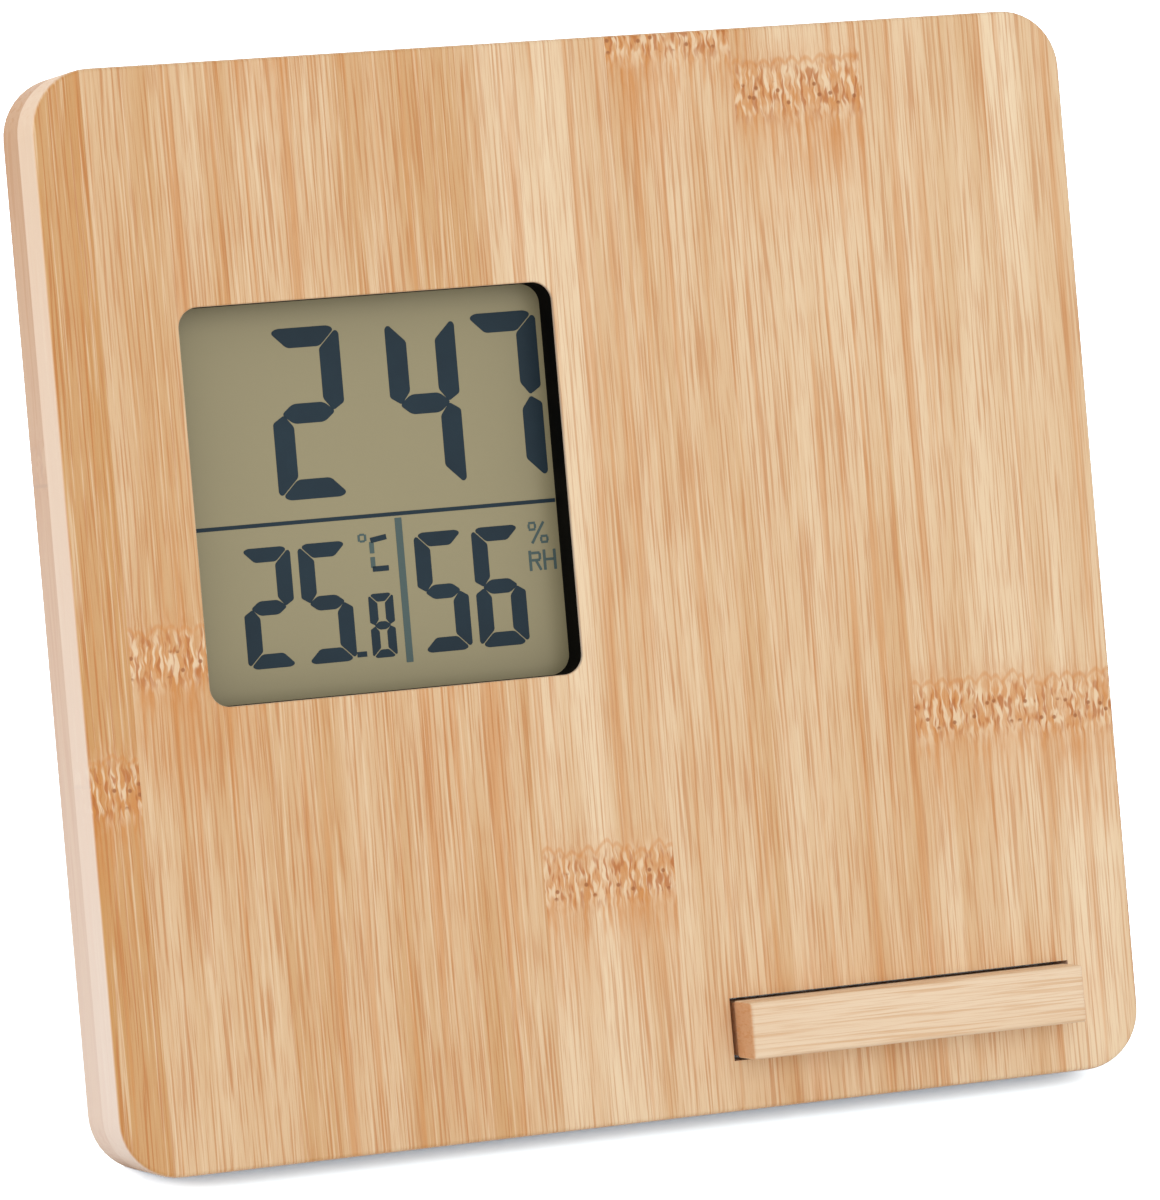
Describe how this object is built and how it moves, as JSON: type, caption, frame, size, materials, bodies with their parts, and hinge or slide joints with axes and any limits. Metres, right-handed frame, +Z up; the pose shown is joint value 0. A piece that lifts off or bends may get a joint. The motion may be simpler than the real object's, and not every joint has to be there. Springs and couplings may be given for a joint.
{
  "type": "desk clock",
  "caption": "Leaning square bamboo desk clock with a recessed liquid-crystal display, a slide-out phone ledge and a fold-out rear leg.",
  "frame": {"origin": "middle of the clock's footprint on the table: under the bounding box's centre, at its base", "axes": "+X to the clock's right seen from the front, +Y to the rear (the face looks to -Y), +Z up"},
  "size_m": [0.18, 0.0784, 0.1779],
  "materials": {
    "bamboo_front": "clear-lacquered vertical-laminated bamboo",
    "bamboo_rear": "clear-lacquered bamboo, darker ply",
    "bamboo_ledge": "clear-lacquered bamboo, pale",
    "liner": "moulded black ABS",
    "polariser": "grey-green reflective display film",
    "display_glass": "float glass",
    "reflector": "brushed foil",
    "white_moulding": "moulded white ABS",
    "zebra": "silicone with carbon layers",
    "circuit_board": "green solder mask",
    "chip_black": "moulded epoxy",
    "steel": "plain",
    "spring_bronze": "phosphor bronze strip",
    "copper": "enamelled copper wire",
    "ferrite": "sintered sheet",
    "rear_moulding": "fine-textured black ABS",
    "button_rubber": "satin grey ABS",
    "cell_jacket": "plain plastic jacket",
    "foot_rubber": "moulded",
    "nylon": "natural nylon"
  },
  "bodies": {
    "housing": {"front_board": "bamboo_front", "rear_board": "bamboo_rear", "display_bezel": "liner", "lcd_polariser": "polariser", "lcd_front_glass": "display_glass", "lcd_rear_glass": "display_glass", "lcd_reflector": "reflector", "lcd_frame": "white_moulding", "zebra_strips": "zebra", "main_board": "circuit_board", "clock_chip": "chip_black", "quartz_crystal": "steel", "climate_sensor": "chip_black", "buzzer": "chip_black", "switch_bodies": "chip_black", "board_screws": "steel", "charging_coil": "copper", "ferrite_sheet": "ferrite", "charger_board": "circuit_board", "charger_chips": "chip_black", "usb_inlet": "steel", "rear_cover": "rear_moulding", "cover_screws": "steel", "battery_upper": "cell_jacket", "battery_lower": "cell_jacket", "battery_positive": "spring_bronze", "battery_negative": "spring_bronze", "battery_link": "spring_bronze", "hinge_pin": "steel", "leg_washers": "nylon"},
    "ledge": {"ledge_bar": "bamboo_ledge", "ledge_flange": "steel", "ledge_spring": "spring_bronze", "ledge_screws": "steel"},
    "door": {"battery_door": "rear_moulding"},
    "leg": {"leg": "bamboo_rear", "leg_foot_pad": "foot_rubber"},
    "key_mode": {"button_mode": "button_rubber", "plunger_mode": "white_moulding"},
    "key_set": {"button_set": "button_rubber", "plunger_set": "white_moulding"},
    "key_up": {"button_up": "button_rubber", "plunger_up": "white_moulding"},
    "key_down": {"button_down": "button_rubber", "plunger_down": "white_moulding"}
  },
  "joints": [
    {"name": "leg_hinge", "type": "hinge", "parent": "housing", "child": "leg", "pos_m": [0, 0.01947, 0.11188], "axis": [1, 0, 0], "range_deg": [-22.5, 0]},
    {"name": "ledge_slide", "type": "slide", "parent": "housing", "child": "ledge", "axis": [0, 0.9681, -0.2504], "range_m": [0, 0.0065]},
    {"name": "door_lift", "type": "slide", "parent": "housing", "child": "door", "axis": [0, 0.9681, -0.2504], "range_m": [0, 0.025]},
    {"name": "key_mode_press", "type": "slide", "parent": "housing", "child": "key_mode", "axis": [0, -0.9681, 0.2504], "range_m": [0, 0.0005], "stiffness_N_per_m": 3000, "springref_m": -0.0003},
    {"name": "key_set_press", "type": "slide", "parent": "housing", "child": "key_set", "axis": [0, -0.9681, 0.2504], "range_m": [0, 0.0005], "stiffness_N_per_m": 3000, "springref_m": -0.0003},
    {"name": "key_up_press", "type": "slide", "parent": "housing", "child": "key_up", "axis": [0, -0.9681, 0.2504], "range_m": [0, 0.0005], "stiffness_N_per_m": 3000, "springref_m": -0.0003},
    {"name": "key_down_press", "type": "slide", "parent": "housing", "child": "key_down", "axis": [0, -0.9681, 0.2504], "range_m": [0, 0.0005], "stiffness_N_per_m": 3000, "springref_m": -0.0003}
  ]
}
